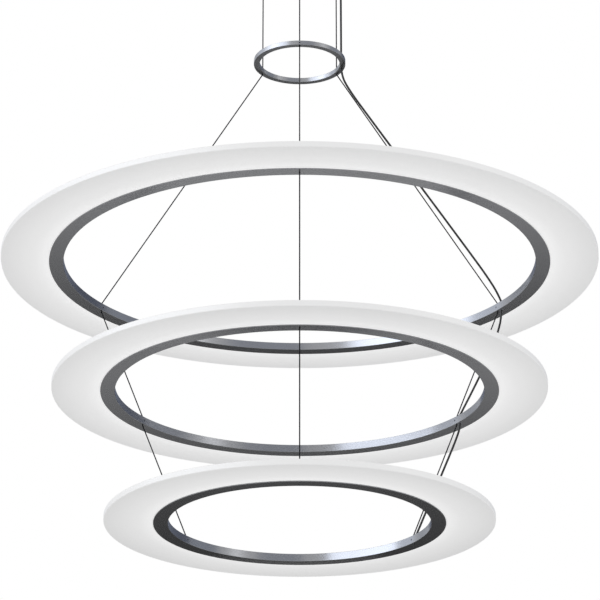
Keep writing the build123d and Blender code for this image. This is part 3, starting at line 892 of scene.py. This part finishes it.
# %% Spin the canopy
CANOPY_FLOOR, SHEET, CANOPY_RADIUS = -0.045, 0.0012, 0.11
BEVEL_OUT, BEVEL_IN, FOLD_OUT, FOLD_IN, RIM = 0.006, 0.0053, 0.0015, 0.001, 0.0003
NIPPLE_HOLE, GLAND_HOLE, SIDE_HOLE, SIDE_SCREW_LEVEL = 0.0041, 0.0051, 0.00205, -0.015
inside, sheet_top = CANOPY_RADIUS - SHEET, CANOPY_FLOOR + SHEET
section = [
    (0, CANOPY_FLOOR, 0), (CANOPY_RADIUS - BEVEL_OUT, CANOPY_FLOOR, FOLD_OUT),
    (CANOPY_RADIUS, CANOPY_FLOOR + BEVEL_OUT, FOLD_OUT), (CANOPY_RADIUS, 0), (inside, 0),
    (inside, sheet_top + BEVEL_IN, FOLD_IN), (inside - BEVEL_IN, sheet_top, FOLD_IN),
    (0, sheet_top, 0),
]
canopy = turned("canopy_cover_piece", [rounded(section, RIM)], canopy_metal)
rope_centres = {name: at(hole_circle["spreader"], angle, 0) for name, angle in rope_angles.items()}
gland_centre = cord_place("spreader", 0)
down, up = Vector((0, 0, CANOPY_FLOOR - 0.001)), Vector((0, 0, CANOPY_FLOOR + 0.003))
holes = [(centre + down, centre + up, NIPPLE_HOLE) for centre in rope_centres.values()]
holes.append((gland_centre + down, gland_centre + up, GLAND_HOLE))
for angle in (0, 180):
    ends = [at(CANOPY_RADIUS + step, angle, SIDE_SCREW_LEVEL) for step in (-0.004, 0.003)]
    holes.append((*ends, SIDE_HOLE))
drill(canopy, holes)
finish_piece(canopy, "canopy_cover")

# %% [markdown]
# Small turned pieces
#
# Screws, grippers, bushes and nuts are turned about their own axis at the origin, then their
# meshes are moved to their places. A thread is drawn as a row of closed grooves: a true helix
# looks no different at this size, and its ends are hard to close. A hexagon is a ring of six
# steps whose corners a turned disc takes off.

# %% Tools for small pieces
HEXAGON_FACE, DISC_MARGIN = 0.475, 0.0002


def together(name, parts):
    """One object from several, which are used up."""
    mesh = bmesh.new()
    for part in parts:
        mesh.from_mesh(part.data)
    data = parts[0].data.copy()
    data.name = name
    mesh.to_mesh(data)
    mesh.free()
    for part in parts:
        old = part.data
        bpy.data.objects.remove(part)
        bpy.data.meshes.remove(old)
    return placed(name, data)


def moved(obj, place):
    """Move a piece's mesh by a matrix, so that the object stays at the origin."""
    obj.data.transform(place)
    return obj


def repeated(name, obj, places):
    """One object from copies of a piece at several places. The piece is used up."""
    copies = [moved(placed(obj.name, obj.data.copy()), place) for place in places]
    bpy.data.objects.remove(obj)
    return together(name, copies)


def outward(radius, angle, z):
    """The place where +Z points away from the axis at an angle."""
    turn = Matrix.Rotation(radians(angle), 4, "Z") @ Matrix.Rotation(radians(90), 4, "Y")
    return Matrix.Translation(at(radius, angle, z)) @ turn


def thread(radius, low, high, pitch=0.0008, depth=0.0003):
    """The zigzag edge of a thread between two heights, as section points."""
    count = max(1, round(abs(high - low) / pitch))
    step = (high - low) / count
    edge = []
    for turn in range(count):
        edge += [(radius - depth, low + turn * step, 0), (radius, low + (turn + 0.5) * step, 0)]
    return edge + [(radius - depth, high, 0)]


def hexagon(name, flats, low, high, bore, material):
    """A hexagon with turned-off corners and, if its radius isn't 0, a round bore."""
    corner = flats / 2 / cos(radians(30))
    prism = turned(name, [[(0, low), (corner, low), (corner, high), (0, high)]], material, 6)
    face, out = HEXAGON_FACE * flats, corner + DISC_MARGIN
    lean = (out - face) * tan(radians(30))
    disc = [(0, low), (face, low), (out, low + lean), (out, high - lean), (face, high), (0, high)]
    cut(prism, turned("disc", [disc], material, 96), "INTERSECT")
    if bore:
        drill(prism, [((0, 0, low - 0.001), (0, 0, high + 0.001), bore)], 64)
    return prism


print("tools ready")

# %% [markdown]
# Grub screws
#
# Each rope is clamped in a ring by a hollow-hexagon grub screw of 3 mm. Only its end shows, as
# a small dark dot on the inside of the hoop. The spreader's are longer and face outwards.

# %% Make the grub screws
GRUB, GRUB_END, GRUB_TIP, HEX_KEY, SOCKET = 0.0015, 0.0003, 0.0004, 0.00087, 0.0014
GRUB_LENGTH, LONG_GRUB, GRUB_INSET = 0.00295, 0.00395, 0.0003
for ring in levels:
    length = LONG_GRUB if ring == "spreader" else GRUB_LENGTH
    section = [
        (0, 0), (GRUB - GRUB_END, 0), (GRUB, GRUB_END), (GRUB, length - GRUB_TIP),
        (GRUB - GRUB_TIP, length), (0, length),
    ]
    grub = turned("grub", [section], blackened_steel, 32)
    drill(grub, [((0, 0, -0.001), (0, 0, SOCKET), HEX_KEY)], 6)
    middle = sum(levels[ring]) / 2
    if ring == "spreader":
        seat, about = GRUB_INSET - SPREADER_OUTSIDE, 180
    else:
        seat, about = hoop_inside[ring] + GRUB_INSET, 0
    places = [outward(seat, angle + about, middle) for angle in rope_angles.values()]
    finish_piece(repeated(f"{ring}_grub_screws_piece", grub, places), f"{ring}_grub_screws")

# %% [markdown]
# Rope grippers
#
# A gripper is a turned brass housing, screwed through the canopy's floor. A spring pushes its
# barrel down, so that three balls jam the rope in a cone. Pushing the barrel's nose frees it.
# Heights are measured from the canopy's floor. The spring is a helix laid by the rope's tree.

# %% Make the grippers
BORE, NIPPLE, NIPPLE_TOP, HOUSING, HOUSING_END = 0.0014, 0.004, 0.011, 0.005, -0.022
NOSE, NOSE_END, BARREL, BARREL_FOOT, BARREL_TOP = 0.0025, -0.027, 0.003, -0.0105, -0.0095
CONE_END, CONE_END_LEVEL, CONE_TOP, CHAMBER = 0.0026, -0.016985, 0.003652, 0.0038
BALL, BALL_REACH, BALL_LEVEL, POCKET, POCKET_REACH = 0.00095, 0.00218, -0.013, 0.00098, 0.0035
COIL, WIRE, SPRING_LOW, SPRING_HIGH, SPRING_TURNS = 0.0026, 0.00025, -0.0092, -0.0023, 5
RELEASE, SPRING_SEAT, COIL_POINTS = 0.0025, -0.002, 24
body_section = rounded(
    [
        (BORE, NIPPLE_TOP, 0), *thread(NIPPLE, NIPPLE_TOP, 0.0002), (NIPPLE, 0, 0),
        (HOUSING, 0, 0.0002), (HOUSING, HOUSING_END + 0.001, 0.0003),
        (NIPPLE, HOUSING_END, 0.0003), (CONE_END, HOUSING_END, 0), (CONE_END, CONE_END_LEVEL, 0),
        (CONE_TOP, BARREL_TOP, 0), (CHAMBER, BARREL_TOP, 0), (CHAMBER, SPRING_SEAT, 0),
        (BORE, SPRING_SEAT, 0),
    ],
    0,
)
barrel_section = rounded(
    [
        (BORE, NOSE_END, 0.0002), (NOSE, NOSE_END, 0.0005), (NOSE, BARREL_FOOT, 0),
        (BARREL, BARREL_FOOT), (BARREL, BARREL_TOP), (BORE, BARREL_TOP),
    ],
    0.0001,
)
spring_shape = cord_shape | {
    "Radius": WIRE, "Step": 0.0005, "Points": 10, "Material": spring_steel,
}
bodies = []
for name, centre in rope_centres.items():
    place = Matrix.Translation(centre + Vector((0, 0, CANOPY_FLOOR)))
    bodies.append(moved(turned("housing", [body_section], nickel, 64), place))
    barrel = turned(f"gripper_plunger_{name}_piece", [barrel_section], nickel, 64)
    level = Vector((0, 0, BALL_LEVEL))
    drill(barrel, [(level, at(POCKET_REACH, turn, BALL_LEVEL), POCKET) for turn in (0, 120, 240)])
    finish_piece(moved(barrel, place), f"gripper_plunger_{name}")
    mesh = bmesh.new()
    for turn in (0, 120, 240):
        spot = Matrix.Translation(at(BALL_REACH, turn, BALL_LEVEL))
        bmesh.ops.create_icosphere(mesh, subdivisions=3, radius=BALL, matrix=place @ spot)
    balls = object_from(f"gripper_balls_{name}_piece", mesh)
    balls.data.materials.append(polished_steel)
    finish_piece(balls, f"gripper_balls_{name}")
    count = COIL_POINTS * SPRING_TURNS
    turn, rise = 360 / COIL_POINTS, (SPRING_HIGH - SPRING_LOW) / count
    coil = [place @ at(COIL, turn * i, SPRING_LOW + rise * i) for i in range(count + 1)]
    spring = solid_from(nurbs(f"gripper_spring_{name}_piece", coil), rope_tree, spring_shape)
    finish_piece(spring, f"gripper_spring_{name}")
    seat = (place @ Vector((0, 0, SPRING_SEAT))).z
    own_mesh(spring)
finish_piece(together("gripper_bodies_piece", bodies), "gripper_bodies")

# %% Make the grippers' lock nuts
NUT_FLATS, NUT_HEIGHT, NUT_BORE = 0.012, 0.0035, 0.00405
nut = hexagon("nut", NUT_FLATS, 0, NUT_HEIGHT, NUT_BORE, nickel)
inside_floor = Vector((0, 0, CANOPY_FLOOR + SHEET))
places = [Matrix.Translation(centre + inside_floor) for centre in rope_centres.values()]
finish_piece(repeated("gripper_nuts_piece", nut, places), "gripper_nuts")

# %% [markdown]
# Cord gland
#
# The gland is a moulded nylon screw with a hexagon and a ribbed cap. It holds the cord where
# it leaves the canopy. Its ribs are what is left between sixteen slanted grooves.

# %% Make the gland
CAP_LOW, CAP_HIGH, CAP_GROOVES, GLAND_TOP, GLAND_NECK = -0.013, -0.004, 16, 0.008, 0.0045
COLLAR_FLATS, GLAND_NUT_FLATS, GLAND_NUT_HEIGHT, GLAND_NUT_BORE = 0.013, 0.015, 0.003, 0.00505
section = [
    (0, GLAND_TOP), *thread(0.005, GLAND_TOP, 0.0002, 0.001, 0.0004), (GLAND_NECK, -0.001),
    (GLAND_NECK, CAP_HIGH + 0.0005), (0.0056, CAP_HIGH + 0.0005), (0.0056, CAP_HIGH),
    (0.0036, CAP_LOW, 0.001), (0, CAP_LOW),
]
gland = turned("cord_gland_piece", [rounded(section, 0)], grey_nylon, 96)
grooves = []
for i in range(CAP_GROOVES):
    turn = i * 360 / CAP_GROOVES
    ends = (at(0.00585, turn, CAP_HIGH - 0.001), at(0.00385, turn, CAP_LOW + 0.0005))
    grooves.append((*ends, 0.00045))
drill(gland, grooves, 16)
cut(gland, hexagon("collar", COLLAR_FLATS, CAP_HIGH, 0, 0, grey_nylon), "UNION")
drill(gland, [((0, 0, CAP_LOW - 0.001), (0, 0, GLAND_TOP + 0.001), CORD_HOLE)], 48)
face_out(gland)
moved(gland, Matrix.Translation(gland_centre + Vector((0, 0, CANOPY_FLOOR))))
finish_piece(gland, "cord_gland")
nut = hexagon("gland_nut_piece", GLAND_NUT_FLATS, 0, GLAND_NUT_HEIGHT, GLAND_NUT_BORE, grey_nylon)
finish_piece(moved(nut, Matrix.Translation(gland_centre + inside_floor)), "gland_nut")

# %% [markdown]
# Screws of the canopy
#
# Two thumb screws hold the cover to the bracket. Their heads are knurled: the tree that lays a
# rope draws the knurl too, with many shallow lobes and no turn. The earth screw is brass, with
# a cross in its head.

# %% Make the canopy's screws
HEAD, HEAD_HEIGHT, SHANK, SHANK_END = 0.00375, 0.0024, 0.00195, -0.0087
knurl_shape = cord_shape | {
    "Radius": HEAD, "Strands": 30, "Groove": 0.06, "Step": 0.0012, "Points": 180,
    "Material": blackened_steel,
}
axis = [(0, 0, z) for z in (0, HEAD_HEIGHT / 2, HEAD_HEIGHT)]
head = solid_from(nurbs("head", axis), rope_tree, knurl_shape)
face_out(head)
disc = rounded([(0, 0, 0), (HEAD, 0, 0.0003), (HEAD, HEAD_HEIGHT, 0.0006), (0, HEAD_HEIGHT, 0)], 0)
cut(head, turned("disc", [disc], blackened_steel, 90), "INTERSECT")
shank = rounded([(0, 0.0005), *thread(SHANK, 0.0005, SHANK_END), (0, SHANK_END)], 0)
cut(head, turned("shank", [shank], blackened_steel, 48), "UNION")
places = [outward(CANOPY_RADIUS, angle, SIDE_SCREW_LEVEL) for angle in (0, 180)]
finish_piece(repeated("canopy_side_screws_piece", head, places), "canopy_side_screws")

# %% Make the earth screw
EARTH_HEAD, EARTH_SHANK, EARTH_LOW, EARTH_SHOULDER = 0.0038, 0.00195, -0.0042, -0.002
CROSS_REACH, CROSS_LEVEL, CROSS_WIDTH, EARTH_PLACE = 0.0022, -0.0043, 0.0009, (-0.078, 0, 0)
section = [
    (0, EARTH_LOW), (EARTH_HEAD, EARTH_LOW, 0.0009), (EARTH_HEAD, EARTH_SHOULDER, 0.0002),
    (EARTH_SHANK, EARTH_SHOULDER), (EARTH_SHANK, 0, 0.0002), (0, 0),
]
earth = turned("earth_screw_piece", [rounded(section, 0)], brass, 64)
for x, y in ((CROSS_REACH, 0), (0, CROSS_REACH)):
    drill(earth, [((-x, -y, CROSS_LEVEL), (x, y, CROSS_LEVEL), CROSS_WIDTH)], 4)
finish_piece(moved(earth, Matrix.Translation(EARTH_PLACE)), "earth_screw")

# %% [markdown]
# Bushes and end stops
#
# A nylon bush guards the cord in each flange that it passes. Under the small ring each rope ends
# in a crimped stop. Both are turned as the screws are. The last of each rope, inside the small
# ring, is laid with its stop.

# %% Make the bushes
BUSH_RIM = BUSH_HOLE + 0.001
bush_section = rounded(
    [
        (CORD_HOLE, -FLANGE), (BUSH_HOLE, -FLANGE), (BUSH_HOLE, 0, 0), (BUSH_RIM, 0),
        (BUSH_RIM, BUSH_HEAD, 0.0004), (CORD_HOLE, BUSH_HEAD, 0.0003),
    ],
    0.0001,
)
half_turn = Matrix.Rotation(pi, 4, "X")
for ring in hoop_inside:
    top, bottom = levels[ring]
    places = [Matrix.Translation(cord_place(ring, top))]
    if ring != "small":
        places.append(Matrix.Translation(cord_place(ring, bottom)) @ half_turn)
    bushes = [moved(turned("bush", [bush_section], grey_nylon, 48), place) for place in places]
    finish_piece(together(f"{ring}_cord_bushes_piece", bushes), f"{ring}_cord_bushes")

# %% Make the end stops
CRIMP, CRIMP_LOW = 0.0022, -0.0008
top, bottom = levels["small"]
crimp = rounded([(0, CRIMP_LOW, 0), (CRIMP, CRIMP_LOW, 0.0003), (CRIMP, 0, 0.0002), (0, 0, 0)], 0)
last_shape = rope_shape | {"Material": blackened_steel}
stops = []
for angle in rope_angles.values():
    run = [at(hole_circle["small"], angle, z) for z in (bottom, (bottom + top) / 2, top)]
    stops.append(solid_from(nurbs("last", run), rope_tree, last_shape))
    place = Matrix.Translation(at(hole_circle["small"], angle, bottom))
    stops.append(moved(turned("crimp", [crimp], blackened_steel, 48), place))
finish_piece(together("rope_end_stops_piece", stops), "rope_end_stops")

# %% [markdown]
# LED tape
#
# A flexible board lies on the hoop's web, with a row of light packages that face outwards. One
# package is modelled, and a Geometry Nodes tree repeats it round the ring. Its white cup is
# moulded, and its window is the yellow phosphor that turns blue light white.

# %% Build the tree that repeats a part round the axis
row_tree, given = new_tree(
    "row_round_axis", {"Radius": FLOAT, "Height": FLOAT, "Count": INTEGER, "Material": MATERIAL}
)
around = {"Vertices": given["Count"], "Radius": given["Radius"]}
circle = add(row_tree, "GeometryNodeMeshCircle", around)
lift = add(row_tree, "ShaderNodeCombineXYZ", {"Z": given["Height"]})
spot = add(row_tree, "GeometryNodeInputPosition")
facing = add(row_tree, "FunctionNodeAlignRotationToVector", {"Vector": spot}, axis="X")
standing = {"Points": circle, "Instance": given["Geometry"], "Rotation": facing}
row = add(row_tree, "GeometryNodeInstanceOnPoints", standing)
raised = add(row_tree, "GeometryNodeTransform", {"Geometry": row, "Translation": lift})
finish_tree(row_tree, given, raised)

# %% Lay the LED tape
TAPE_WIDTH, TAPE, LED_PITCH = 0.008, 0.0003, 0.05
LED, WINDOW = (0.0008, 0.005, 0.0035), (0.0001, 0.0038, 0.0025)


def block(name, size, inside, width):
    """A block with rounded edges that stands outwards of the plane x = inside."""
    mesh = bmesh.new()
    place = Matrix.Translation((inside + size[0] / 2, 0, 0)) @ Matrix.Diagonal((*size, 1))
    bmesh.ops.create_cube(mesh, size=1, matrix=place)
    bmesh.ops.bevel(
        mesh, geom=mesh.edges[:], offset=width, segments=2, profile=0.5, affect="EDGES",
        clamp_overlap=True,
    )
    return object_from(name, mesh)


led_parts = [
    ("packages", LED, 0, white_abs, 0.0003),
    ("windows", WINDOW, LED[0] - WINDOW[0] / 2, phosphor, 0.00004),
]
for ring, inner in hoop_inside.items():
    middle = sum(levels[ring]) / 2
    web, face = inner + PARTITION, inner + PARTITION + TAPE
    low, high = middle - TAPE_WIDTH / 2, middle + TAPE_WIDTH / 2
    section = [(web, low), (face, low), (face, high), (web, high)]
    stand_for(turned(f"{ring}_led_tape_piece", [section], tape_board), f"{ring}_led_tape")
    values = {"Radius": face, "Height": middle, "Count": int(2 * pi * face / LED_PITCH)}
    for kind, size, inside, material, width in led_parts:
        one = block(f"{ring}_led_{kind}", size, inside, width)
        many = solid_from(one, row_tree, values | {"Material": material})
        finish_piece(many, None)
        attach(many, body_of[ring])

# %% [markdown]
# Sheet, block and box pieces
#
# The bracket, the clamp blocks, the driver, its pads and the terminal block keep their CAD
# shapes. Nothing real has a knife edge, so every sharp edge of a copy is rounded a little. The
# CAD mesh is loose triangles, so the copy is merged and its flat faces are joined before that.

# %% Soften the other pieces
FLAT_ANGLE, EDGE_ANGLE = 1, 30


def softened(node, width, material):
    """A CAD piece whose sharp edges are rounded by a width in metres."""
    mesh = bmesh.new()
    mesh.from_mesh(frame["nodes"][node].data)
    bmesh.ops.remove_doubles(mesh, verts=mesh.verts, dist=DOUBLES)
    bmesh.ops.dissolve_limit(
        mesh, angle_limit=radians(FLAT_ANGLE), verts=mesh.verts, edges=mesh.edges
    )
    sharp = radians(EDGE_ANGLE)
    edges = [edge for edge in mesh.edges if edge.is_manifold and edge.calc_face_angle() > sharp]
    bmesh.ops.bevel(
        mesh, geom=edges, offset=width, offset_type="WIDTH", segments=2, profile=0.5,
        affect="EDGES", clamp_overlap=True,
    )
    obj = object_from(node + "_piece", mesh)
    if "custom_normal" in obj.data.attributes:
        obj.data.attributes.remove(obj.data.attributes["custom_normal"])
    obj.data.materials.append(material)
    face_out(obj)
    finish_piece(obj, node, 20)


softened("ceiling_bracket", 0.0003, zinc_plate)
softened("led_driver", 0.001, white_abs)
softened("driver_pads", 0.0003, foam)
softened("terminal_block", 0.0004, polyamide)
for ring in hoop_inside:
    softened(f"{ring}_clamp_blocks", 0.0003, clamp_metal)

# %% [markdown]
# Studio
#
# A plain white room of even light surrounds the object, so that its colours render about as
# they are written. A large lamp on the left and a smaller one on the right draw the two long
# highlights on the inside of each hoop. What the camera sees behind the object is pure white,
# and metal mirrors the same white.

# %% Light the room
WHITE, ROOM_LIGHT = (1, 1, 1, 1), 0.86
CENTRE = Vector((0, 0, -0.8))
world = bpy.data.worlds.new("studio")
scene.world = world
world.use_nodes = True
tree = world.node_tree
tree.nodes.clear()
rays = add(tree, "ShaderNodeLightPath").outputs
seen = rays["Is Camera Ray"]
for ray in ("Is Glossy Ray", "Is Transmission Ray"):
    seen = add(tree, "ShaderNodeMath", {0: seen, 1: rays[ray]}, operation="MAXIMUM")
room = add(tree, "ShaderNodeBackground", {"Color": WHITE, "Strength": ROOM_LIGHT})
backdrop = add(tree, "ShaderNodeBackground", {"Color": WHITE, "Strength": 1.0})
mixed = add(tree, "ShaderNodeMixShader", {0: seen, 1: room, 2: backdrop})
add(tree, "ShaderNodeOutputWorld", {"Surface": mixed})


def direction(azimuth, elevation):
    """Unit vector towards an azimuth from +X and an elevation, in degrees."""
    return at(cos(radians(elevation)), azimuth, sin(radians(elevation)))


def lamp(name, azimuth, elevation, distance, width, height, radiance):
    """A rectangular lamp that faces the light's centre, with a given surface brightness."""
    data = bpy.data.lights.new(name, "AREA")
    data.shape = "RECTANGLE"
    data.size, data.size_y = width, height
    data.energy = radiance * pi * width * height
    towards = direction(azimuth, elevation)
    obj = placed(name, data)
    obj.location = CENTRE + towards * distance
    obj.rotation_euler = towards.to_track_quat("Z", "Y").to_euler()
    print(name, "at", [round(x, 2) for x in obj.location], "power", round(data.energy, 1))


lamp("left_lamp", 205, 30, 5.0, 1.6, 1.6, 1.6)
lamp("right_lamp", 330, 21, 4.5, 1.0, 1.4, 1.65)

# %% [markdown]
# Floor
#
# The light hangs from a ceiling, so the floor lies far below it, and is wide enough that its
# edge never shows. It is matt, pale paint with the faintest mottle.

# %% Put down the floor
FLOOR_LEVEL, FLOOR_REACH = -9.0, 150


def rectangle(name, x, y, z):
    """A rectangle that faces up, as an object, from half its width and half its length."""
    mesh = bpy.data.meshes.new(name)
    mesh.from_pydata([(-x, -y, z), (x, -y, z), (x, y, z), (-x, y, z)], [], [(0, 1, 2, 3)])
    return placed(name, mesh)


floor = rectangle("studio_floor", FLOOR_REACH, FLOOR_REACH, FLOOR_LEVEL)
material, tree, place = new_material("pale_floor_paint")
mottle = add(tree, "ShaderNodeTexNoise", {"Vector": place, "Scale": 0.6, "Detail": 2.0})
tones = {"Factor": mottle, "A": linear("#F2F2F2"), "B": linear("#F6F6F6")}
tone = add(tree, "ShaderNodeMix", tones, data_type="RGBA").outputs["Result"]
paint = close(material, add(tree, "ShaderNodeBsdfDiffuse", {"Color": tone}))
floor.data.materials.append(paint)

# %% [markdown]
# Reflection cards
#
# Brushed metal is only as interesting as what it mirrors. A photographer stands cards round it:
# bright panels draw highlights, and grey or dark flags draw the shade between them. These cards
# are seen by reflections alone. A large bright panel on the left gives each hoop its blue-white
# streak, grey flags shade the rest of the inner faces, and the dark ones beyond and beneath the
# light make its undersides dark.

# %% Put up the cards
CARD_LOW, CARD_HIGH = -0.6, 2.1


def card(
    name, azimuth, distance, width, colours, strength=1.0, low=CARD_LOW, high=CARD_HIGH, ramp=1
):
    """An upright card that only reflections see, facing the axis between two heights.

    It is shaded from its lower edge's colour to its upper one over a share of its height.
    """
    half = (high - low) / 2
    towards = direction(azimuth, 0)
    obj = rectangle(name, width / 2, half, 0)
    obj.location = towards * distance + Vector((0, 0, (low + high) / 2))
    obj.rotation_euler = towards.to_track_quat("Z", "Y").to_euler()
    material, tree, place = new_material(name + "_board")
    up = add(tree, "ShaderNodeSeparateXYZ", {"Vector": place}).outputs["Y"]
    level = {"Value": up, "From Min": -half, "From Max": 2 * half * ramp - half}
    tones = {
        "Factor": add(tree, "ShaderNodeMapRange", level),
        "A": linear(colours[0]),
        "B": linear(colours[1]),
    }
    tone = add(tree, "ShaderNodeMix", tones, data_type="RGBA").outputs["Result"]
    light = add(tree, "ShaderNodeEmission", {"Color": tone, "Strength": strength})
    obj.data.materials.append(close(material, light))
    obj.visible_camera = False
    obj.visible_diffuse = False
    obj.visible_shadow = False
    obj.visible_transmission = False


card("far_flag", 90, 3.8, 9.0, ("#626262", "#141414"), low=-2.33, high=-1.0, ramp=0.36)
card("under_flag", 90, 0.6, 0.8, ("#5C5C5C", "#5C5C5C"), low=-1.64, high=-1.29)
for name, azimuth, distance, width, colour, strength in (
    ("left_panel", 208, 4.2, 6.0, "#EEF4FF", 3.9),
    ("left_fill", 158, 4.3, 2.0, "#EEF4FF", 1.5),
    ("front_flag", 288, 4.3, 3.2, "#CACED8", 1.0),
    ("right_flag", 8, 4.0, 2.6, "#C0C6D2", 1.0),
    ("back_flag", 68, 4.0, 7.0, "#7A8090", 1.0),
    ("far_left_flag", 124, 4.1, 2.0, "#D6DAE2", 1.0),
):
    card(name, azimuth, distance, width, (colour, colour), strength)

# %% Finish
bpy.context.view_layer.update()
